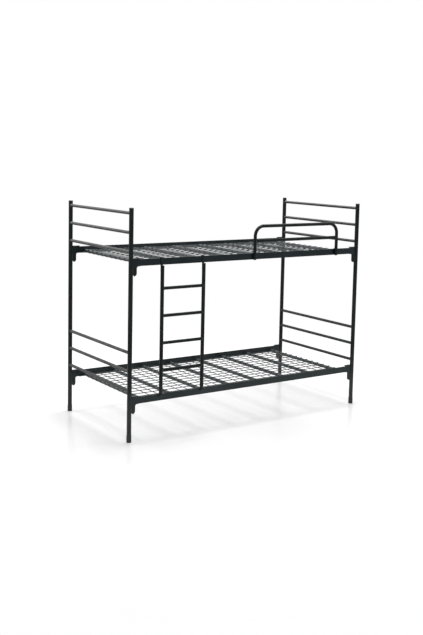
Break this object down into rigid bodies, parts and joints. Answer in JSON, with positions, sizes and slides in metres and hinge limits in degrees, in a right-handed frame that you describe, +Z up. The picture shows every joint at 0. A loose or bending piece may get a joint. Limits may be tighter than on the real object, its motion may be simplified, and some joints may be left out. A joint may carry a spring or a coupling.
{
  "type": "bunk bed",
  "caption": "Round-tube bunk bed: two welded end frames carry two wire mesh bases on corner hooks that drop into sheet pockets, with a hook-on ladder and a hook-on guard rail.",
  "frame": {"origin": "on the floor under the centre of the outline box", "axes": "+X along the bed from the ladder end to the other end, -Y towards the ladder side, +Z up"},
  "size_m": [2.034, 0.9474, 1.576],
  "materials": {
    "frame_coat": "satin",
    "tube_coat": "satin",
    "base_coat": "satin",
    "mesh_wire": "satin",
    "cap_plastic": "matte",
    "foot_plastic": "matte"
  },
  "bodies": {
    "end_frames": {"post_front_left": "frame_coat", "post_front_right": "frame_coat", "post_rear_left": "frame_coat", "post_rear_right": "frame_coat", "upper_rungs_left": "frame_coat", "upper_rungs_right": "frame_coat", "lower_rungs_left": "frame_coat", "lower_rungs_right": "frame_coat", "post_caps": "cap_plastic", "post_feet": "foot_plastic", "upper_sockets": "frame_coat", "lower_sockets": "frame_coat"},
    "lower_base": {"lower_front_rail": "base_coat", "lower_rear_rail": "base_coat", "lower_corner_hooks": "base_coat", "lower_cross_bars": "base_coat", "lower_long_wires": "mesh_wire", "lower_cross_wires": "mesh_wire", "lower_wire_loops": "mesh_wire"},
    "upper_base": {"upper_front_rail": "base_coat", "upper_rear_rail": "base_coat", "upper_corner_hooks": "base_coat", "upper_cross_bars": "base_coat", "upper_long_wires": "mesh_wire", "upper_cross_wires": "mesh_wire", "upper_wire_loops": "mesh_wire"},
    "ladder": {"ladder_stile_left": "tube_coat", "ladder_stile_right": "tube_coat", "ladder_rungs": "tube_coat", "ladder_hooks": "tube_coat", "ladder_feet": "foot_plastic"},
    "guard_rail": {"guard_hoop": "tube_coat", "guard_middle_bar": "tube_coat", "guard_hooks": "tube_coat", "guard_plugs": "foot_plastic"}
  },
  "joints": [
    {"name": "lower_base_lift", "type": "slide", "parent": "end_frames", "child": "lower_base", "axis": [0, 0, 1], "range_m": [0, 0.075]},
    {"name": "upper_base_lift", "type": "slide", "parent": "end_frames", "child": "upper_base", "axis": [0, 0, 1], "range_m": [0, 0.075]},
    {"name": "ladder_lift", "type": "slide", "parent": "upper_base", "child": "ladder", "axis": [0, 0, 1], "range_m": [0, 0.04]},
    {"name": "guard_rail_lift", "type": "slide", "parent": "upper_base", "child": "guard_rail", "axis": [0, 0, 1], "range_m": [0, 0.035]}
  ]
}
